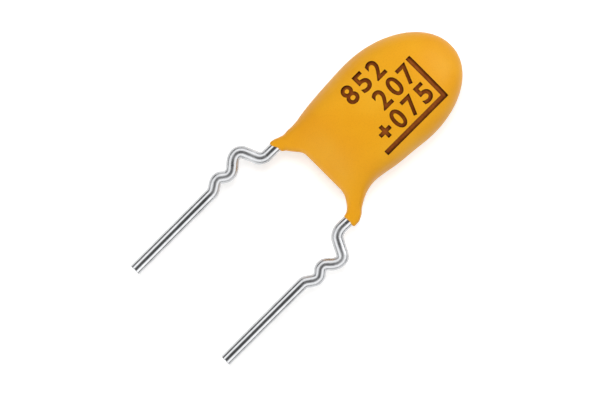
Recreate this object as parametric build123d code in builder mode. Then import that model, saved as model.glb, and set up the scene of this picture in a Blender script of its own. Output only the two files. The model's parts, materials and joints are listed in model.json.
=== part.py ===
"""Dipped solid tantalum capacitor with two kinked radial leads.

The capacitor lies on its back. X runs across the two leads, +X towards the positive
one. Y runs along them, from the cut tips to the crown of the resin body. Z is up.
The origin is on the surface it lies on, under the centre of its bounding box.
Inside the resin are the sintered slug with its cathode layers, the riser wire that
leaves it, and the inner ends of the leads, one welded and one soldered.
Millimetres. Levels are measured from the feet, where the leads leave the resin.
"""

from build123d import *

import math
import os
from collections import namedtuple

# Leads: tinned round wire, kinked so that the body stands off a board.
wire_diameter = 0.51
lead_spacing = 5.08
exit_spacing = 4.10
lead_reach = 7.42
bend_radius = 0.32
exit_drop = 0.615
first_crest_drop = 1.38
first_crest_out = 0.555
valley_drop = 2.02
second_crest_drop = 2.50
second_crest_out = 0.33
straight_drop = 3.08
tip_break = 0.04

# Slug and the layers that make its cathode, from the inside out.
slug_width = 2.60
slug_thickness = 1.20
slug_height = 3.10
slug_level = 2.72
slug_edge_radius = 0.22
slug_top_break = 0.18
dioxide_thickness = 0.04
graphite_thickness = 0.03
graphite_margin = 0.20
silver_thickness = 0.05
silver_margin = 0.35
washer_diameter = 1.00
washer_thickness = 0.20

# Riser wire and its weld to the back of the positive lead.
riser_diameter = 0.30
riser_depth = 1.20
riser_tail = 0.42
weld_level = 1.40
weld_set_down = 0.10
weld_overlap = 0.42
weld_bead_radius = 0.31

# Negative lead's seat on the side of the slug.
lean_level = 0.15
seat_level = 1.00
solder_contact = 2.10
solder_film = 0.02
solder_wall = 0.08
solder_spread = 0.80
solder_tip = 0.12

# Resin round the slug. A fullness over 0.55 makes a section squarer than an ellipse.
# The bulging back is flattened by its flat's depth, which lets the capacitor lie still.
side_wall = 0.515
back_wall = 0.425
back_flat = 0.13
crown_wall = 1.83
bulb_rise = 0.29
bulb_lean = 0.20
bulb_fullness = 0.72
shoulder_level = 3.80
shoulder_narrowing_left = 0.0
shoulder_narrowing_right = 0.08
shoulder_thinning = 0.01
belly_level = 2.80
belly_narrowing_left = 0.055
belly_narrowing_right = 0.18
belly_thinning = 0.04
belly_fullness = 0.74

# Resin below the slug, which narrows to a foot round each lead.
waist_level = 1.85
waist_narrowing_left = 0.14
waist_narrowing_right = 0.33
waist_thinning = 0.62
waist_fullness = 0.78
hip_level = 0.75
hip_wall = 0.17
hip_thickness = 1.20
hip_fullness = 0.88
ankle_level = 0.30
ankle_thickness = 0.78
ankle_fullness = 0.95
foot_wall = 0.07
foot_face_wall = 0.095
foot_fullness = 1.0
foot_break = 0.05

# Arch between the feet: its left flank is straight, its right one swings round.
arch_height = 0.65
arch_spring = 0.14
arch_left_run = 0.62
arch_left_radius = 0.40
arch_right_run = 0.32
arch_right_radius = 0.85
lip_radius = 0.18

wire_radius = wire_diameter / 2
riser_radius = riser_diameter / 2
graphite_growth = dioxide_thickness + graphite_thickness
silver_growth = graphite_growth + silver_thickness
slug_half_width = slug_width / 2 + silver_growth
slug_half_thickness = slug_thickness / 2 + silver_growth

# The slug lies behind the plane of the leads, by the depth of the weld.
weld_offset = wire_radius + riser_radius - weld_set_down
bulb_half_width = slug_half_width + solder_film / 2 + wire_radius + side_wall
bulb_thickness = 2 * (weld_offset + slug_half_thickness + back_wall + back_flat)
bulb_level = slug_level + slug_height / 2 + bulb_rise
body_height = slug_level + slug_height + silver_growth + crown_wall
crown_height = body_height - bulb_level

foot_y = (lead_reach - body_height) / 2
lead_z = bulb_thickness / 2 - back_flat
slug_z = lead_z - weld_offset

# Slug and negative lead lie side by side and are centred together in the bulb.
slug_x = wire_radius + solder_film / 2 - bulb_lean
negative_run_x = slug_x - slug_half_width - solder_film - wire_radius
waist_right = bulb_half_width - bulb_lean - waist_narrowing_right
positive_run_x = waist_right - foot_wall - wire_radius
solder_top = slug_level + solder_contact

Section = namedtuple("Section", "level left right thickness fullness")


def bulb_section(level, left_narrowing, right_narrowing, thinning, fullness):
    """A section beside the slug, narrower and thinner than the bulb at its widest."""
    return Section(
        level,
        bulb_half_width + bulb_lean - left_narrowing,
        bulb_half_width - bulb_lean - right_narrowing,
        bulb_thickness - thinning,
        fullness,
    )


def crown_section(turn):
    """A section of the crown, a dome that leans back to the middle at its top."""
    rise = math.sin(math.radians(turn))
    spread = math.cos(math.radians(turn))
    lean = bulb_lean * (1 - rise)
    return Section(
        bulb_level + crown_height * rise,
        bulb_half_width * spread + lean,
        bulb_half_width * spread - lean,
        bulb_thickness * spread,
        bulb_fullness,
    )


def foot_section(level, left_wall, right_wall, thickness, fullness):
    """A section below the waist, where the resin follows the two leads."""
    rise = max(level - lean_level, 0)
    left_lean = (exit_spacing / 2 + negative_run_x) * rise / (seat_level - lean_level)
    right_lean = (exit_spacing / 2 - positive_run_x) * rise / (weld_level - lean_level)
    lead_edge = exit_spacing / 2 + wire_radius
    return Section(
        level,
        lead_edge - left_lean + left_wall,
        lead_edge - right_lean + right_wall,
        thickness,
        fullness,
    )


foot_thickness = wire_diameter + 2 * foot_face_wall
sections = [
    foot_section(0, foot_wall, foot_wall, foot_thickness, foot_fullness),
    foot_section(ankle_level, foot_wall, foot_wall, ankle_thickness, ankle_fullness),
    foot_section(hip_level, hip_wall, foot_wall, hip_thickness, hip_fullness),
    bulb_section(
        waist_level,
        waist_narrowing_left,
        waist_narrowing_right,
        waist_thinning,
        waist_fullness,
    ),
    bulb_section(
        belly_level,
        belly_narrowing_left,
        belly_narrowing_right,
        belly_thinning,
        belly_fullness,
    ),
    bulb_section(
        shoulder_level,
        shoulder_narrowing_left,
        shoulder_narrowing_right,
        shoulder_thinning,
        bulb_fullness,
    ),
]
for turn in (0, 22, 42, 60, 74, 85):
    sections.append(crown_section(turn))


def level_plane(level, x=0, z=lead_z):
    """A plane across the body at a level above the feet, facing down the leads."""
    return Plane(origin=(x, foot_y + level, z), x_dir=(1, 0, 0), z_dir=(0, -1, 0))


def section_outline(section):
    """A closed outline of four quarter curves, each with handles of its fullness."""
    half = section.thickness / 2
    for edge_x in (-section.left, section.right):
        for face_z in (-half, half):
            Bezier(
                (edge_x, 0),
                (edge_x, face_z * section.fullness),
                (edge_x * section.fullness, face_z),
                (0, face_z),
            )


def lead(inner_points, side):
    """A wire from its inner end in the resin, past the kinks, to its cut tip."""
    straight_x = lead_spacing / 2
    kinked = [
        (exit_spacing / 2, lean_level),
        (exit_spacing / 2, -exit_drop),
        (straight_x + first_crest_out, -first_crest_drop),
        (straight_x, -valley_drop),
        (straight_x + second_crest_out, -second_crest_drop),
        (straight_x, -straight_drop),
        (straight_x, -lead_reach),
    ]
    points = inner_points + [(side * x, level) for x, level in kinked]
    with BuildPart() as wire:
        with BuildLine():
            path = FilletPolyline(
                *[(x, foot_y + level, lead_z) for x, level in points],
                radius=bend_radius,
            )
        with BuildSketch(Plane(path @ 0, z_dir=path % 0)):
            Circle(wire_radius)
        sweep()
        chamfer(edges().sort_by(Axis.Y)[0], tip_break)
    return wire


def slug_block(growth, bottom):
    """The slug grown on all sides, from a level up: the outside of one layer."""
    top = slug_level + slug_height + growth
    with BuildPart() as block:
        with BuildSketch(level_plane(bottom, slug_x, slug_z)):
            RectangleRounded(
                slug_width + 2 * growth,
                slug_thickness + 2 * growth,
                slug_edge_radius + growth,
            )
        extrude(amount=bottom - top)
        chamfer(faces().sort_by(Axis.Y)[-1].edges(), slug_top_break)
    return block.part


# Leads.
negative_lead = lead([(negative_run_x, solder_top), (negative_run_x, seat_level)], -1)
positive_lead = lead([(slug_x - weld_overlap, weld_level), (positive_run_x, weld_level)], 1)

# Riser wire, slug and washer.
with BuildPart() as anode_riser_wire:
    with BuildSketch(level_plane(weld_level - riser_tail, slug_x, slug_z)):
        Circle(riser_radius)
    extrude(amount=weld_level - riser_tail - slug_level - riser_depth)
    add(positive_lead.part, mode=Mode.SUBTRACT)

with BuildPart() as anode_slug:
    add(slug_block(0, slug_level))
    add(anode_riser_wire.part, mode=Mode.SUBTRACT)

with BuildPart() as insulating_washer:
    with BuildSketch(level_plane(slug_level, slug_x, slug_z)):
        Circle(washer_diameter / 2)
    extrude(amount=washer_thickness)
    add(anode_riser_wire.part, mode=Mode.SUBTRACT)

# Cathode layers. The lower rims of the graphite and the silver stay back from the
# riser wire, each by its margin, and the dioxide wraps the slug up to the washer.
dioxide_block = slug_block(dioxide_thickness, slug_level - dioxide_thickness)
graphite_block = slug_block(graphite_growth, slug_level + graphite_margin)
silver_block = slug_block(silver_growth, slug_level + silver_margin)

with BuildPart() as manganese_dioxide_layer:
    add(dioxide_block)
    for inner in (anode_slug, insulating_washer, anode_riser_wire):
        add(inner.part, mode=Mode.SUBTRACT)

with BuildPart() as graphite_layer:
    add(graphite_block)
    add(dioxide_block, mode=Mode.SUBTRACT)

with BuildPart() as silver_layer:
    add(silver_block)
    add(dioxide_block, mode=Mode.SUBTRACT)
    add(graphite_block, mode=Mode.SUBTRACT)

# Joints of the leads: a fillet of solder to the silver, a weld bead to the riser.
with BuildPart() as solder_joint:
    with BuildSketch(level_plane(slug_level + silver_margin)):
        with BuildLine():
            CenterArc((negative_run_x, 0), wire_radius + solder_wall, 0, 360)
            Line((slug_x, -solder_spread / 2), (slug_x, solder_spread / 2))
        make_hull()
    extrude(amount=silver_margin - solder_contact - solder_tip)
    add(silver_block, mode=Mode.SUBTRACT)
    add(negative_lead.part, mode=Mode.SUBTRACT)

with BuildPart() as weld_bead:
    with Locations((slug_x, foot_y + weld_level, lead_z - wire_radius)):
        Sphere(weld_bead_radius, rotation=(90, 0, 90))
    add(positive_lead.part, mode=Mode.SUBTRACT)
    add(anode_riser_wire.part, mode=Mode.SUBTRACT)

inner_parts = {
    "negative_lead": negative_lead,
    "positive_lead": positive_lead,
    "anode_riser_wire": anode_riser_wire,
    "anode_slug": anode_slug,
    "insulating_washer": insulating_washer,
    "manganese_dioxide_layer": manganese_dioxide_layer,
    "graphite_layer": graphite_layer,
    "silver_layer": silver_layer,
    "solder_joint": solder_joint,
    "weld_bead": weld_bead,
}

# Resin body: lofted up the leads, arched out between its feet, rounded along the arch,
# broken at the feet's ends, flattened at its back, then cast round what it holds.
arch_foot_x = exit_spacing / 2 - wire_radius - foot_wall
arch_top = foot_y + arch_height
arch_spring_y = foot_y + arch_spring
below_feet = foot_y - arch_height

with BuildPart() as epoxy_coating:
    for section in sections:
        with BuildSketch(level_plane(section.level)):
            with BuildLine():
                section_outline(section)
            make_face()
    loft()
    with BuildSketch(Plane.XY):
        with BuildLine():
            FilletPolyline(
                (-arch_foot_x, below_feet),
                (-arch_foot_x, arch_spring_y),
                (arch_left_run - arch_foot_x, arch_top),
                (arch_foot_x - arch_right_run, arch_top),
                (arch_foot_x, arch_spring_y),
                (arch_foot_x, below_feet),
                radius=[arch_spring, arch_left_radius, arch_right_radius, arch_spring],
            )
            Line((-arch_foot_x, below_feet), (arch_foot_x, below_feet))
        make_face()
    extrude(amount=bulb_thickness, mode=Mode.SUBTRACT)
    arch_edges = edges(Select.LAST).filter_by(GeomType.LINE, reverse=True)
    lip = arch_edges.filter_by_position(Axis.Y, foot_y, arch_top, inclusive=(False, True))
    fillet(lip, lip_radius)
    foot_ends = faces().filter_by(Plane.XZ).sort_by(Axis.Y)[:2]
    chamfer(foot_ends.edges(), foot_break)
    split(bisect_by=Plane.XY)
    for inner in inner_parts.values():
        add(inner.part, mode=Mode.SUBTRACT)

os.makedirs("parts", exist_ok=True)
for name, piece in {"epoxy_coating": epoxy_coating, **inner_parts}.items():
    piece.part.label = name
    export_step(piece.part, f"parts/{name}.step")
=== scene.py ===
"""Looks of a dipped tantalum capacitor that lies on its back on a pale floor.

Metres, in the frame of the solids: X runs across the two leads, Y along them towards
the crown of the resin body, and Z is up. Small pieces are modelled in millimetres and
brought to metres when they are finished.
"""

import json
import math

import bpy
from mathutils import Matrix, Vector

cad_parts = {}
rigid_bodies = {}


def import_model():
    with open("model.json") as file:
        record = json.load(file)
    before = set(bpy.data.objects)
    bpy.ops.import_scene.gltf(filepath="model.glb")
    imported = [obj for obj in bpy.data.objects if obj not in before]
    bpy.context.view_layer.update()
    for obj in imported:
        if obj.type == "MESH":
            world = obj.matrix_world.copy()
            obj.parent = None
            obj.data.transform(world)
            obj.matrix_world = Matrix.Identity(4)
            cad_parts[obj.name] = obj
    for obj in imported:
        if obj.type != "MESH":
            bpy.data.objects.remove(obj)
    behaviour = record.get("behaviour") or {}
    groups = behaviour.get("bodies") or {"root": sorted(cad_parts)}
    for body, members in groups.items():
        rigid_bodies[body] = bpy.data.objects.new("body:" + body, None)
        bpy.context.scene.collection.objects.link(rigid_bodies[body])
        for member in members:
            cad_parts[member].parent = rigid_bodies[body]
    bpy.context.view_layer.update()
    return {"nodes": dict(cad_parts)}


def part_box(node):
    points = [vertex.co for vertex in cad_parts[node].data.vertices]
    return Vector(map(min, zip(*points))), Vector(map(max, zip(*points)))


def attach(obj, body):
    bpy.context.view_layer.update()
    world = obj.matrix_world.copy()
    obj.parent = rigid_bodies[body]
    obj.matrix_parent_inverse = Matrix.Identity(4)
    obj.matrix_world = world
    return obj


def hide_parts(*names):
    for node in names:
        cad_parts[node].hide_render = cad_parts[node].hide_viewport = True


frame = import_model()

MM = 0.001

# Places taken from the solids, in millimetres.
coating_low, coating_high = [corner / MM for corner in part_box("epoxy_coating")]
wire_low, wire_high = [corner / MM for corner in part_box("positive_lead")]
feet_y = coating_low.y
face_z = coating_high.z
wire_z = (wire_low.z + wire_high.z) / 2
wire_radius = (wire_high.z - wire_low.z) / 2
tip_y = wire_low.y

# Half the leads' spacing, where they leave the resin and where they run straight.
exit_x = 2.05
straight_x = 2.54

# Leads. The kinks lie along Y within a reach of their middle, and the tool that pressed
# them scuffed the wire all over the inner part of that reach.
wire_roundness = 10
wire_steps = 14
wire_crease = 40
tip_break = 0.035
straight_reach = 0.6
kinks_middle = -1.95
kinks_reach = 1.65
scuffed_part = 0.7

# The leads' routes: each knot has its place, the way the wire runs there in degrees
# outwards from straight down the leads, and the reach of its curve's handles. They start
# at the joints in the resin, pass the kinks that hold the part above the board, and end
# where the wire runs straight. Both are drawn for the positive side.
lead_routes = {
    "negative_lead": (
        (1.630, 4.645, 0, 0.60),
        (1.630, 1.000, 0, 0.13),
        (1.840, 0.400, 26, 0.20),
        (2.050, -0.130, 0, 0.13),
        (2.060, -0.66, 0, 0.12),
        (2.270, -1.000, 67, 0.14),
        (2.740, -1.200, 67, 0.14),
        (2.965, -1.500, 0, 0.15),
        (2.780, -1.870, -42, 0.12),
        (2.570, -2.230, 0, 0.15),
        (2.665, -2.490, 36, 0.09),
        (2.780, -2.720, 0, 0.12),
        (2.670, -2.990, -33, 0.11),
        (2.540, -3.320, 0, 0.17),
    ),
    "positive_lead": (
        (-0.355, 1.225, 90, 0.40),
        (1.140, 1.225, 90, 0.12),
        (1.445, 1.048, 29, 0.12),
        (1.720, 0.560, 29, 0.16),
        (2.065, -0.130, 0, 0.20),
        (2.052, -0.58, 0, 0.14),
        (2.270, -1.020, 62, 0.16),
        (2.760, -1.270, 66, 0.14),
        (2.965, -1.540, 0, 0.14),
        (2.820, -1.890, -42, 0.12),
        (2.600, -2.210, 0, 0.14),
        (2.710, -2.450, 36, 0.09),
        (2.815, -2.680, 0, 0.12),
        (2.695, -2.960, -33, 0.11),
        (2.545, -3.290, 0, 0.17),
    ),
}

# Resin body. Smoothing takes skin_loss off the skin all round, which is put back.
merge_gap = 0.0005
rim_gap = 0.004
skin_voxel = 0.06
skin_smoothing = 0.5
skin_passes = 9
skin_loss = 0.018
skin_crease = 32

# The feet as the resin ran and set: places on them, and how far each is drawn.
foot_reach = 0.32
foot_grip = foot_reach / 3
foot_drawn = (
    ((-2.30, -0.12), (0.05, -0.09)),
    ((-2.33, 0.00), (-0.03, -0.02)),
    ((-2.24, 0.26), (0.07, 0.00)),
    ((-1.82, -0.15), (0.00, 0.04)),
    ((2.32, -0.05), (0.03, -0.06)),
    ((2.27, 0.20), (0.06, 0.00)),
    ((1.69, 0.10), (0.07, -0.02)),
    ((1.82, -0.15), (0.03, -0.03)),
)

# Marks burnt into the face: plain numbers, a plus and a corner bar. A row has its place
# across the body, and each number its level along it. The real marks are a few
# hundredths of a millimetre deep; they are cut deeper here, so that their edges show.
mark_depth = 0.12
mark_reach = 0.6
# How far from the marks' walls the painted shade from ambient occlusion reaches.
painted_shade_reach = 0.12
digit_height = 0.83
digit_width = 0.53
digit_weight = 0.025
digit_steps = 6
rows = (
    (-1.415, (("8", 3.33), ("5", 4.03), ("2", 4.74))),
    (-0.410, (("2", 4.10), ("0", 4.80), ("7", 5.48))),
    (0.588, (("0", 4.01), ("7", 4.74), ("5", 5.42))),
)
plus_place = (0.583, 3.285)
plus_size = 0.57
plus_stroke = 0.17
bar_width = 0.22
side_bar_x = 1.225
side_bar_start = 2.710
cross_bar_y = 5.960
cross_bar_end = -0.855

# Camera. The clip distances are in metres.
view_width = 23.81
view_centre = (0.121, -0.980)
view_turn = 45.0
lens = 200.0
sensor = 36.0
nearest_seen = 0.001
farthest_seen = 10.0

# Room. Each lamp has its place, its size and its power in watts, and says whether
# polished surfaces mirror it.
floor_radius = 90.0
floor_sides = 96
floor_glow = 0.50
world_light = 0.47
room_shine = 1.65
lamps = {
    "key_light": ((-22, 16, 118), 36, 0.062, False),
    "arch_light": ((0, -90, 12), 24, 0.019, True),
    "crown_light": ((18, 98, 62), 44, 0.030, True),
}

# A face looks along an axis when its normal's share of that axis is more than this.
facing = 0.99

# Sockets whose names occur twice on their node, by number.
MIX_FACTOR, MIX_FIRST, MIX_SECOND, MIX_RESULT = 0, 6, 7, 2
FROM_LOW, FROM_HIGH, TO_LOW, TO_HIGH = 1, 2, 3, 4


def linear(hex_colour):
    """An sRGB hex colour as linear red, green, blue and full alpha."""
    parts = [int(hex_colour[i : i + 2], 16) / 255 for i in (0, 2, 4)]
    return [
        part / 12.92 if part <= 0.04045 else ((part + 0.055) / 1.055) ** 2.4
        for part in parts
    ] + [1.0]


def select_only(piece):
    bpy.ops.object.select_all(action="DESELECT")
    piece.select_set(True)
    bpy.context.view_layer.objects.active = piece


def apply_modifier(piece, kind, **settings):
    """Adds a modifier with its settings and applies it."""
    select_only(piece)
    modifier = piece.modifiers.new(kind.lower(), kind)
    for name, value in settings.items():
        setattr(modifier, name, value)
    bpy.ops.object.modifier_apply(modifier=modifier.name)


def scale_piece(piece, factor):
    select_only(piece)
    piece.scale = (factor, factor, factor)
    bpy.ops.object.transform_apply(location=True, rotation=True, scale=True)


def copy_of(piece, name):
    twin = bpy.data.objects.new(name, piece.data.copy())
    bpy.context.scene.collection.objects.link(twin)
    return twin


def edit(piece, mode="VERT"):
    """Clears a piece's selection, ready to choose vertices, edges or faces on it."""
    select_only(piece)
    bpy.ops.object.mode_set(mode="EDIT")
    bpy.ops.mesh.select_mode(type=mode)
    bpy.ops.mesh.select_all(action="DESELECT")
    bpy.ops.object.mode_set(mode="OBJECT")


def run_in_edit(*steps):
    """Runs edit-mode operators, each given as (operator, settings)."""
    bpy.ops.object.mode_set(mode="EDIT")
    for operator, settings in steps:
        operator(**settings)
    bpy.ops.object.mode_set(mode="OBJECT")


# Materials.


def open_nodes(owner):
    """Clears the nodes of a material or a world, and gives the helper that adds them."""
    owner.use_nodes = True
    tree = owner.node_tree
    tree.nodes.clear()

    def add(kind, settings=None, links=None):
        """Adds a node, sets its properties or sockets, and links its inputs."""
        node = tree.nodes.new("ShaderNode" + kind)
        for key, value in (settings or {}).items():
            if isinstance(key, str) and hasattr(node, key):
                setattr(node, key, value)
            else:
                node.inputs[key].default_value = value
        for key, source in (links or {}).items():
            tree.links.new(source, node.inputs[key])
        return node

    return add


def new_material(name):
    material = bpy.data.materials.new(name)
    return material, open_nodes(material)


def per_mm(size):
    """The scale of a noise whose cells have a given size in millimetres."""
    return 1 / (size * MM)


def colour_ramp(add, source, stops):
    """A ramp from (place, hex colour) stops."""
    ramp = add("ValToRGB", links={"Fac": source})
    elements = ramp.color_ramp.elements
    while len(elements) < len(stops):
        elements.new(0.5)
    for element, (place, colour) in zip(elements, stops):
        element.position = place
        element.color = linear(colour)
    return ramp


def epoxy_resin():
    """Fluid-dipped epoxy, cured in an oven: an even ochre with a soft gloss.

    The coat levels itself, so its colour only drifts over millimetres, and its gloss
    waves a little. Its pigment and filler grains are about 0.01 mm across; they are
    drawn 0.045 mm across, so that they show close up.
    """
    material, add = new_material("dipped_epoxy_ochre")
    place = add("TexCoord").outputs["Object"]
    drift = add("TexNoise", {"Scale": per_mm(2.4), "Detail": 2.0}, {"Vector": place})
    grain = add("TexNoise", {"Scale": per_mm(0.045), "Detail": 2.0}, {"Vector": place})
    tint = colour_ramp(
        add, drift.outputs["Fac"], ((0.30, "E79D0C"), (0.55, "EAA413"), (0.75, "EDAB1F"))
    )
    speck = colour_ramp(add, grain.outputs["Fac"], ((0.36, "DCCFBA"), (0.50, "FFFFFF")))
    colour = add(
        "Mix",
        {"data_type": "RGBA", "blend_type": "MULTIPLY", MIX_FACTOR: 0.15},
        {MIX_FIRST: tint.outputs["Color"], MIX_SECOND: speck.outputs["Color"]},
    )
    gloss = add("MapRange", {TO_LOW: 0.38, TO_HIGH: 0.52}, {"Value": drift.outputs["Fac"]})
    wave = add("TexNoise", {"Scale": per_mm(0.65), "Detail": 1.0}, {"Vector": place})
    swell = add(
        "Bump",
        {"Strength": 0.10, "Distance": 0.020 * MM},
        {"Height": wave.outputs["Fac"]},
    )
    tooth = add(
        "Bump",
        {"Strength": 0.06, "Distance": 0.004 * MM},
        {"Height": grain.outputs["Fac"], "Normal": swell.outputs["Normal"]},
    )
    shader = add(
        "BsdfPrincipled",
        {"IOR": 1.53, "Specular IOR Level": 0.22},
        {
            "Base Color": colour.outputs[MIX_RESULT],
            "Roughness": gloss.outputs[0],
            "Normal": tooth.outputs["Normal"],
        },
    )
    add("OutputMaterial", links={"Surface": shader.outputs["BSDF"]})
    return material


def burnt_resin():
    """Resin charred by a marking laser: matt brown, with the beam's fine scan lines.

    The real lines are 0.03 mm apart; they are drawn 0.12 mm apart, so that they show.
    Ambient occlusion darkens the strokes near the foot of their walls: painted shade, which
    gives them dark edges.
    """
    material, add = new_material("laser_burnt_resin")
    place = add("TexCoord").outputs["Object"]
    # Waves that a wave texture has in one metre when its scale is one.
    waves_per_scale = 10 / math.pi
    scan = add(
        "TexWave",
        {
            "bands_direction": "Y",
            "Scale": per_mm(0.12) / waves_per_scale,
            "Distortion": 1.5,
            "Detail": 1.0,
        },
        {"Vector": place},
    )
    char = add("TexNoise", {"Scale": per_mm(0.31), "Detail": 3.0}, {"Vector": place})
    tint = colour_ramp(
        add, char.outputs["Fac"], ((0.30, "7E3C0C"), (0.52, "904A14"), (0.74, "A0571D"))
    )
    lines = colour_ramp(add, scan.outputs["Fac"], ((0.0, "D9D0C8"), (0.6, "FFFFFF")))
    colour = add(
        "Mix",
        {"data_type": "RGBA", "blend_type": "MULTIPLY", MIX_FACTOR: 0.35},
        {MIX_FIRST: tint.outputs["Color"], MIX_SECOND: lines.outputs["Color"]},
    )
    # Painted shade: ambient occlusion darkens the burnt colour near the foot of the marks'
    # walls, where shade falls.
    occlusion_shade = add("AmbientOcclusion", {"samples": 16, "Distance": painted_shade_reach * MM})
    painted_shade_ramp = colour_ramp(add, occlusion_shade.outputs["AO"], ((0.30, "5E4A3E"), (0.90, "FFFFFF")))
    shaded_burnt_colour = add(
        "Mix",
        {"data_type": "RGBA", "blend_type": "MULTIPLY", MIX_FACTOR: 1.0},
        {MIX_FIRST: colour.outputs[MIX_RESULT], MIX_SECOND: painted_shade_ramp.outputs["Color"]},
    )
    pits = add(
        "Bump",
        {"Strength": 0.35, "Distance": 0.010 * MM},
        {"Height": char.outputs["Fac"]},
    )
    matt = add("MapRange", {TO_LOW: 0.62, TO_HIGH: 0.85}, {"Value": char.outputs["Fac"]})
    shader = add(
        "BsdfPrincipled",
        {"IOR": 1.45, "Specular IOR Level": 0.25},
        {
            "Base Color": shaded_burnt_colour.outputs[MIX_RESULT],
            "Roughness": matt.outputs[0],
            "Normal": pits.outputs["Normal"],
        },
    )
    add("OutputMaterial", links={"Surface": shader.outputs["BSDF"]})
    return material


def tinned_copper():
    """Copper wire, drawn and then tinned: bright, with lines along it and duller patches.

    The real die lines are 0.01 mm apart; they are drawn 0.04 mm apart, so that they show.
    The tool that pressed the kinks has scuffed them, so they are duller than the rest.
    """
    material, add = new_material("tinned_copper")
    place = add("TexCoord").outputs["Object"]
    along = add("Mapping", {"Scale": (1, 0.02, 1)}, {"Vector": place})
    lines = add(
        "TexNoise",
        {"Scale": per_mm(0.04), "Detail": 2.0},
        {"Vector": along.outputs["Vector"]},
    )
    patches = add("TexNoise", {"Scale": per_mm(0.55), "Detail": 3.0}, {"Vector": place})
    tint = colour_ramp(add, patches.outputs["Fac"], ((0.3, "B9BABC"), (0.7, "CFD0D2")))
    gloss = add(
        "MapRange", {TO_LOW: 0.11, TO_HIGH: 0.22}, {"Value": patches.outputs["Fac"]}
    )
    level = add("SeparateXYZ", links={"Vector": place}).outputs["Y"]
    offset = add("Math", {"operation": "SUBTRACT", 1: kinks_middle * MM}, {0: level})
    from_middle = add("Math", {"operation": "ABSOLUTE"}, {0: offset.outputs[0]})
    pressed = add(
        "MapRange",
        {
            FROM_LOW: scuffed_part * kinks_reach * MM,
            FROM_HIGH: kinks_reach * MM,
            TO_LOW: 0.30,
            TO_HIGH: 0.0,
        },
        {"Value": from_middle.outputs[0]},
    )
    scuffs = add(
        "Math",
        {"operation": "MULTIPLY"},
        {0: pressed.outputs[0], 1: patches.outputs["Fac"]},
    )
    worn = add("Math", {"operation": "ADD"}, {0: gloss.outputs[0], 1: scuffs.outputs[0]})
    scores = add(
        "Bump",
        {"Strength": 0.30, "Distance": 0.003 * MM},
        {"Height": lines.outputs["Fac"]},
    )
    shader = add(
        "BsdfPrincipled",
        {"Metallic": 1.0},
        {
            "Base Color": tint.outputs["Color"],
            "Roughness": worn.outputs[0],
            "Normal": scores.outputs["Normal"],
        },
    )
    add("OutputMaterial", links={"Surface": shader.outputs["BSDF"]})
    return material


def plain_metal(name, dark, light, smoothest, roughest, patch, bump):
    """A metal whose tone and gloss drift over patches of a given size in millimetres."""
    material, add = new_material(name)
    place = add("TexCoord").outputs["Object"]
    drift = add("TexNoise", {"Scale": per_mm(patch), "Detail": 3.0}, {"Vector": place})
    tint = colour_ramp(add, drift.outputs["Fac"], ((0.3, dark), (0.7, light)))
    gloss = add(
        "MapRange", {TO_LOW: smoothest, TO_HIGH: roughest}, {"Value": drift.outputs["Fac"]}
    )
    dents = add(
        "Bump",
        {"Strength": bump, "Distance": 0.010 * MM},
        {"Height": drift.outputs["Fac"]},
    )
    shader = add(
        "BsdfPrincipled",
        {"Metallic": 1.0},
        {
            "Base Color": tint.outputs["Color"],
            "Roughness": gloss.outputs[0],
            "Normal": dents.outputs["Normal"],
        },
    )
    add("OutputMaterial", links={"Surface": shader.outputs["BSDF"]})
    return material


def plain_matt(name, dark, light, roughness, patch, bump, ior=1.5):
    """A powder, paint or plastic that is no metal, with grains of a given size."""
    material, add = new_material(name)
    place = add("TexCoord").outputs["Object"]
    grain = add("TexNoise", {"Scale": per_mm(patch), "Detail": 4.0}, {"Vector": place})
    tint = colour_ramp(add, grain.outputs["Fac"], ((0.3, dark), (0.7, light)))
    tooth = add(
        "Bump",
        {"Strength": bump, "Distance": 0.010 * MM},
        {"Height": grain.outputs["Fac"]},
    )
    shader = add(
        "BsdfPrincipled",
        {"Roughness": roughness, "IOR": ior},
        {"Base Color": tint.outputs["Color"], "Normal": tooth.outputs["Normal"]},
    )
    add("OutputMaterial", links={"Surface": shader.outputs["BSDF"]})
    return material


def finish_inner_parts():
    """Finishes for the parts that the resin hides, one material for each.

    The grains of powders and paints are a few thousandths of a millimetre across. They
    are drawn ten times as coarse or more, so that they show.
    """
    finishes = {
        # Drawn tantalum wire: blue-grey and satin.
        "anode_riser_wire": plain_metal(
            "tantalum_wire", "6E7076", "8A8C92", 0.28, 0.42, patch=0.08, bump=0.1
        ),
        # Tantalum powder, pressed and sintered: dark grey, matt and full of pores.
        "anode_slug": plain_matt(
            "sintered_tantalum", "4A4B50", "63656B", 0.75, patch=0.03, bump=0.6
        ),
        # A punched PTFE washer: waxy white.
        "insulating_washer": plain_matt(
            "white_ptfe", "E9E8E2", "F6F5F0", 0.45, patch=0.2, bump=0.1, ior=1.35
        ),
        # Manganese dioxide, fired on from a dip: almost black, with a fine crust.
        "manganese_dioxide_layer": plain_matt(
            "manganese_dioxide", "17171A", "2A2A2E", 0.8, patch=0.04, bump=0.5
        ),
        # Graphite, dipped and dried: dark grey with a dull sheen.
        "graphite_layer": plain_matt(
            "painted_graphite", "26272A", "3A3B3F", 0.55, patch=0.06, bump=0.3
        ),
        # Silver flakes in a resin: pale and frosted.
        "silver_layer": plain_metal(
            "silver_paint", "B9B7B0", "D2D0C9", 0.45, 0.65, patch=0.05, bump=0.3
        ),
        # Tin solder, melted on: bright, with soft waves.
        "solder_joint": plain_metal(
            "tin_solder", "A9ABAF", "C4C6CA", 0.22, 0.4, patch=0.3, bump=0.2
        ),
        # The melted end of riser and lead: dull and a little brown from the heat.
        "weld_bead": plain_metal(
            "welded_metal", "6F6A66", "95908A", 0.35, 0.55, patch=0.12, bump=0.3
        ),
    }
    for name, material in finishes.items():
        materials = frame["nodes"][name].data.materials
        materials.clear()
        materials.append(material)


# Resin body.


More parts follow.
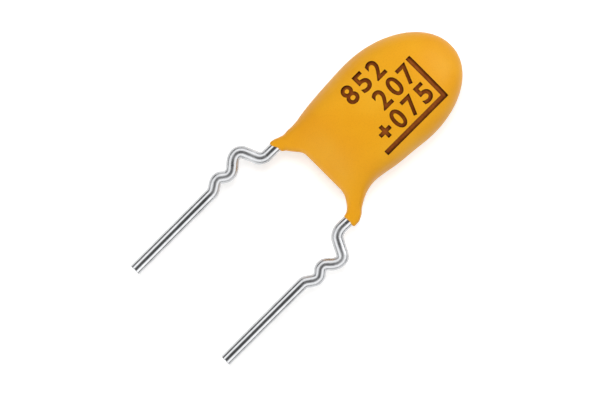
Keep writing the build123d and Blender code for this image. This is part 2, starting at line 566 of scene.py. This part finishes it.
def opening_edges(skin):
    """The edges round the openings in the feet, where the leads come out."""
    points = skin.data.vertices

    def on_rim(point):
        across = abs(point.co.x) - exit_x
        return (
            abs(point.co.y - feet_y) < rim_gap
            and abs(math.hypot(across, point.co.z - wire_z) - wire_radius) < rim_gap
        )

    return [e for e in skin.data.edges if all(on_rim(points[i]) for i in e.vertices)]


def resin_skin():
    """The coating's outer skin in millimetres, closed across the leads' openings."""
    skin = copy_of(frame["nodes"]["epoxy_coating"], "resin_body")
    scale_piece(skin, 1 / MM)
    edit(skin)
    run_in_edit(
        (bpy.ops.mesh.select_all, {"action": "SELECT"}),
        (bpy.ops.mesh.remove_doubles, {"threshold": merge_gap}),
    )
    edit(skin, "EDGE")
    for edge in opening_edges(skin):
        edge.select = True
    run_in_edit((bpy.ops.mesh.edge_split, {}))
    edit(skin)
    crown = max(skin.data.vertices, key=lambda vertex: vertex.co.y)
    crown.select = True
    run_in_edit(
        (bpy.ops.mesh.select_linked, {}),
        (bpy.ops.mesh.select_all, {"action": "INVERT"}),
        (bpy.ops.mesh.delete, {"type": "VERT"}),
        (bpy.ops.mesh.select_all, {"action": "SELECT"}),
        (bpy.ops.mesh.fill_holes, {"sides": 0}),
    )
    return skin


def level_skin(skin):
    """Evens the skin out as the wet resin did, and keeps its size and its flat back."""
    apply_modifier(skin, "REMESH", mode="VOXEL", voxel_size=skin_voxel)
    apply_modifier(skin, "SMOOTH", factor=skin_smoothing, iterations=skin_passes)
    apply_modifier(skin, "DISPLACE", strength=skin_loss, mid_level=0)
    edit(skin)
    for vertex in skin.data.vertices:
        vertex.select = vertex.co.z < 0
    onto_floor = {"value": (1, 1, 0), "center_override": (0, 0, 0)}
    run_in_edit((bpy.ops.transform.resize, onto_floor))


def draw_feet(skin):
    """Draws the resin's ends a little askew, as it ran down the leads and set."""
    for (x, y), (move_x, move_y) in foot_drawn:
        edit(skin)
        for vertex in skin.data.vertices:
            vertex.select = math.dist(vertex.co.xy, (x, y)) < foot_grip
        run_in_edit(
            (
                bpy.ops.transform.translate,
                {
                    "value": (move_x, move_y, 0),
                    "use_proportional_edit": True,
                    "proportional_edit_falloff": "SMOOTH",
                    "proportional_size": foot_reach,
                },
            )
        )


def digit(text, x, y):
    """One number of the marks, read along the body, as a prism through the face."""
    bpy.ops.object.text_add(rotation=(0, 0, math.radians(90)))
    glyph = bpy.context.object
    glyph.data.body = text
    glyph.data.size = 1.0
    glyph.data.offset = digit_weight
    glyph.data.extrude = mark_reach
    glyph.data.resolution_u = digit_steps
    select_only(glyph)
    bpy.ops.object.convert(target="MESH")
    bpy.ops.object.origin_set(type="ORIGIN_GEOMETRY", center="BOUNDS")
    glyph.dimensions = (digit_width, digit_height, 2 * mark_reach)
    glyph.location = (x, y, face_z)
    bpy.ops.object.transform_apply(location=True, rotation=True, scale=True)
    edit(glyph)
    run_in_edit(
        (bpy.ops.mesh.select_all, {"action": "SELECT"}),
        (bpy.ops.mesh.remove_doubles, {"threshold": merge_gap}),
        (bpy.ops.mesh.normals_make_consistent, {}),
    )
    return glyph


def block(low, high):
    """A square-edged prism through the face, between two corners."""
    centre = [(a + b) / 2 for a, b in zip(low, high)]
    bpy.ops.mesh.primitive_cube_add(size=1, location=(*centre, face_z))
    prism = bpy.context.object
    prism.scale = (high[0] - low[0], high[1] - low[1], 2 * mark_reach)
    bpy.ops.object.transform_apply(location=True, rotation=True, scale=True)
    return prism


def pull(prism, chosen, move_x, move_y):
    """Extrudes the faces of a prism that a test chooses."""
    edit(prism, "FACE")
    for face in prism.data.polygons:
        face.select = chosen(face)
    move = {"value": (move_x, move_y, 0)}
    run_in_edit((bpy.ops.mesh.extrude_region_move, {"TRANSFORM_OT_translate": move}))


def corner_bar():
    """The bar beside the numbers, which turns across the body over them."""
    bar = block(
        (side_bar_x - bar_width / 2, side_bar_start),
        (side_bar_x + bar_width / 2, cross_bar_y - bar_width / 2),
    )
    corner_y = cross_bar_y - bar_width / 2
    reach = side_bar_x - bar_width / 2 - cross_bar_end
    pull(bar, lambda face: face.normal.y > facing, 0, bar_width)
    pull(bar, lambda face: face.normal.x < -facing and face.center.y > corner_y, -reach, 0)
    return bar


def plus_sign():
    """The plus that names the positive lead's side."""
    x, y = plus_place
    half, thin = plus_size / 2, plus_stroke / 2
    arm = half - thin
    plus = block((x - thin, y - half), (x + thin, y - thin))
    pull(plus, lambda face: face.normal.y > facing, 0, plus_stroke)
    pull(plus, lambda face: face.normal.y > facing, 0, arm)
    for side in (1, -1):
        pull(
            plus,
            lambda face: face.normal.x * side > facing and abs(face.center.y - y) < thin,
            side * arm,
            0,
        )
    return plus


def cut(piece, tool):
    """Cuts a closed tool out of a closed piece and clears the tool away."""
    apply_modifier(piece, "BOOLEAN", operation="DIFFERENCE", solver="EXACT", object=tool)
    bpy.data.objects.remove(tool)


def burn_marks(skin, resin, char):
    """Burns the numbers and the bar into the face, all to one depth."""
    prisms = [corner_bar(), plus_sign()]
    for x, places in rows:
        for text, y in places:
            prisms.append(digit(text, x, y))
    select_only(prisms[0])
    for prism in prisms:
        prism.select_set(True)
    bpy.ops.object.join()
    marks = bpy.context.object
    for piece in (skin, marks):
        piece.data.materials.clear()
        piece.data.materials.append(resin)
        piece.data.materials.append(char)
    for face in marks.data.polygons:
        face.material_index = 1
    floor_of_marks = copy_of(skin, "mark_floor")
    floor_of_marks.location = (0, 0, -mark_depth)
    select_only(floor_of_marks)
    bpy.ops.object.transform_apply(location=True)
    for face in floor_of_marks.data.polygons:
        face.material_index = 1
    cut(marks, floor_of_marks)
    cut(skin, marks)


def resin_body(resin, char):
    """The resin body with its marks, in place of the coating's solid."""
    skin = resin_skin()
    level_skin(skin)
    draw_feet(skin)
    burn_marks(skin, resin, char)
    scale_piece(skin, MM)
    select_only(skin)
    bpy.ops.object.shade_smooth_by_angle(angle=math.radians(skin_crease))
    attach(skin, "root")
    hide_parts("epoxy_coating")


# Leads.


def lead_path(side, knots):
    """One lead as a curve as thick as its wire, from its joint to its cut tip."""
    stops = [*knots, (straight_x, tip_y + tip_break, 0, straight_reach)]
    bpy.ops.curve.primitive_bezier_curve_add()
    path = bpy.context.object
    spline = path.data.splines[0]
    spline.bezier_points.add(len(stops) - len(spline.bezier_points))
    for knot, (x, y, way, reach) in zip(spline.bezier_points, stops):
        across = side * math.sin(math.radians(way)) * reach
        along = -math.cos(math.radians(way)) * reach
        knot.handle_left_type = knot.handle_right_type = "FREE"
        knot.co = (side * x, y, wire_z)
        knot.handle_left = (side * x - across, y - along, wire_z)
        knot.handle_right = (side * x + across, y + along, wire_z)
    spline.resolution_u = wire_steps
    path.data.dimensions = "3D"
    path.data.twist_mode = "Z_UP"
    path.data.bevel_depth = wire_radius
    path.data.bevel_resolution = wire_roundness
    path.data.use_fill_caps = True
    return path


def break_tip(wire, side):
    """Draws the cut tip out to its length, a little narrower, to break its edge."""
    edit(wire)
    run_in_edit(
        (bpy.ops.mesh.select_all, {"action": "SELECT"}),
        (bpy.ops.mesh.remove_doubles, {"threshold": merge_gap}),
        (bpy.ops.mesh.normals_make_consistent, {}),
    )
    edit(wire, "FACE")
    for face in wire.data.polygons:
        face.select = face.normal.y < -facing and face.center.y < tip_y + 2 * tip_break
    narrowing = 1 - tip_break / wire_radius
    run_in_edit(
        (
            bpy.ops.mesh.extrude_region_move,
            {"TRANSFORM_OT_translate": {"value": (0, -tip_break, 0)}},
        ),
        (
            bpy.ops.transform.resize,
            {
                "value": (narrowing, 1, narrowing),
                "center_override": (side * straight_x, tip_y, wire_z),
            },
        ),
    )


def lead(node, side, finish):
    """A kinked lead of tinned wire, in place of its solid."""
    wire = lead_path(side, lead_routes[node])
    wire.name = node.replace("lead", "wire")
    select_only(wire)
    bpy.ops.object.convert(target="MESH")
    break_tip(wire, side)
    scale_piece(wire, MM)
    wire.data.materials.clear()
    wire.data.materials.append(finish)
    select_only(wire)
    bpy.ops.object.shade_smooth_by_angle(angle=math.radians(wire_crease))
    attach(wire, "root")
    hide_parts(node)


# Room.


def any_ray(add, *kinds):
    """One where a ray is of any of the kinds, as Light Path names them."""
    rays = add("LightPath")
    found = rays.outputs[kinds[0]]
    for kind in kinds[1:]:
        either = add("Math", {"operation": "MAXIMUM"}, {0: found, 1: rays.outputs[kind]})
        found = either.outputs[0]
    return found


def white_floor():
    """A pale matt sheet. What the camera sees of it is lifted to white by its glow."""
    material, add = new_material("white_paper")
    place = add("TexCoord").outputs["Object"]
    fibre = add("TexNoise", {"Scale": per_mm(1.1), "Detail": 2.0}, {"Vector": place})
    tint = colour_ramp(add, fibre.outputs["Fac"], ((0.3, "E3E3E2"), (0.7, "E6E6E5")))
    shader = add(
        "BsdfPrincipled",
        {"Roughness": 0.9, "Specular IOR Level": 0.0},
        {"Base Color": tint.outputs["Color"]},
    )
    seen = any_ray(add, "Is Camera Ray", "Is Glossy Ray", "Is Transmission Ray")
    lift = add("Math", {"operation": "MULTIPLY", 1: floor_glow}, {0: seen})
    glow = add("Emission", {"Color": (1, 1, 1, 1)}, {"Strength": lift.outputs[0]})
    both = add("AddShader", links={0: shader.outputs["BSDF"], 1: glow.outputs["Emission"]})
    add("OutputMaterial", links={"Surface": both.outputs["Shader"]})
    bpy.ops.mesh.primitive_circle_add(
        vertices=floor_sides, radius=floor_radius * MM, fill_type="NGON", location=(0, 0, 0)
    )
    floor = bpy.context.object
    floor.name = "floor"
    floor.data.materials.append(material)


def studio_world():
    """Even white light. Polished metal also mirrors the room: a dark ceiling, dark low
    walls and a black wall beyond the negative lead, which draw dark lines on the wires.
    """
    world = bpy.data.worlds.new("studio")
    bpy.context.scene.world = world
    add = open_nodes(world)
    way = add("TexCoord").outputs["Generated"]
    axes = add("SeparateXYZ", links={"Vector": way})
    room = colour_ramp(
        add,
        axes.outputs["Z"],
        (
            (0.00, "505050"),
            (0.28, "5C5C5C"),
            (0.35, "FFFFFF"),
            (0.84, "FFFFFF"),
            (0.92, "585858"),
            (1.00, "4C4C4C"),
        ),
    )
    flank = add(
        "MapRange",
        {FROM_LOW: -0.95, FROM_HIGH: -0.80, TO_LOW: 0.05, TO_HIGH: 1.0},
        {"Value": axes.outputs["X"]},
    )
    soft = add("Background", {"Color": (1, 1, 1, 1), "Strength": world_light})
    power = add("Math", {"operation": "MULTIPLY", 1: room_shine}, {0: flank.outputs[0]})
    shine = add(
        "Background",
        links={"Color": room.outputs["Color"], "Strength": power.outputs[0]},
    )
    paper = add("Background", {"Color": (1, 1, 1, 1), "Strength": 1.0})
    mirrored = any_ray(add, "Is Glossy Ray")
    unseen = add("MixShader", links={0: mirrored, 1: soft.outputs[0], 2: shine.outputs[0]})
    seen = any_ray(add, "Is Camera Ray", "Is Transmission Ray")
    all_rays = add("MixShader", links={0: seen, 1: unseen.outputs[0], 2: paper.outputs[0]})
    add("OutputWorld", links={"Surface": all_rays.outputs[0]})


def softbox(name, place, size, power, mirrored):
    """A square soft light that looks at the origin."""
    bpy.ops.object.light_add(type="AREA", location=[c * MM for c in place])
    light = bpy.context.object
    light.name = name
    light.data.size = size * MM
    light.data.energy = power
    away = light.location.normalized()
    light.rotation_euler = away.to_track_quat("Z", "Y").to_euler()
    light.visible_glossy = mirrored


def look_down():
    """A camera straight above the capacitor, turned so that the leads point down left."""
    distance = view_width * lens / sensor
    bpy.ops.object.camera_add(
        location=(view_centre[0] * MM, view_centre[1] * MM, (wire_z + distance) * MM),
        rotation=(0, 0, math.radians(view_turn)),
    )
    camera = bpy.context.object
    camera.data.lens = lens
    camera.data.sensor_width = sensor
    camera.data.clip_start = nearest_seen
    camera.data.clip_end = farthest_seen
    bpy.context.scene.camera = camera


resin_body(epoxy_resin(), burnt_resin())
tinned = tinned_copper()
lead("negative_lead", -1, tinned)
lead("positive_lead", 1, tinned)
finish_inner_parts()
white_floor()
studio_world()
for lamp, settings in lamps.items():
    softbox(lamp, *settings)
look_down()
bpy.context.scene.view_settings.view_transform = "Standard"
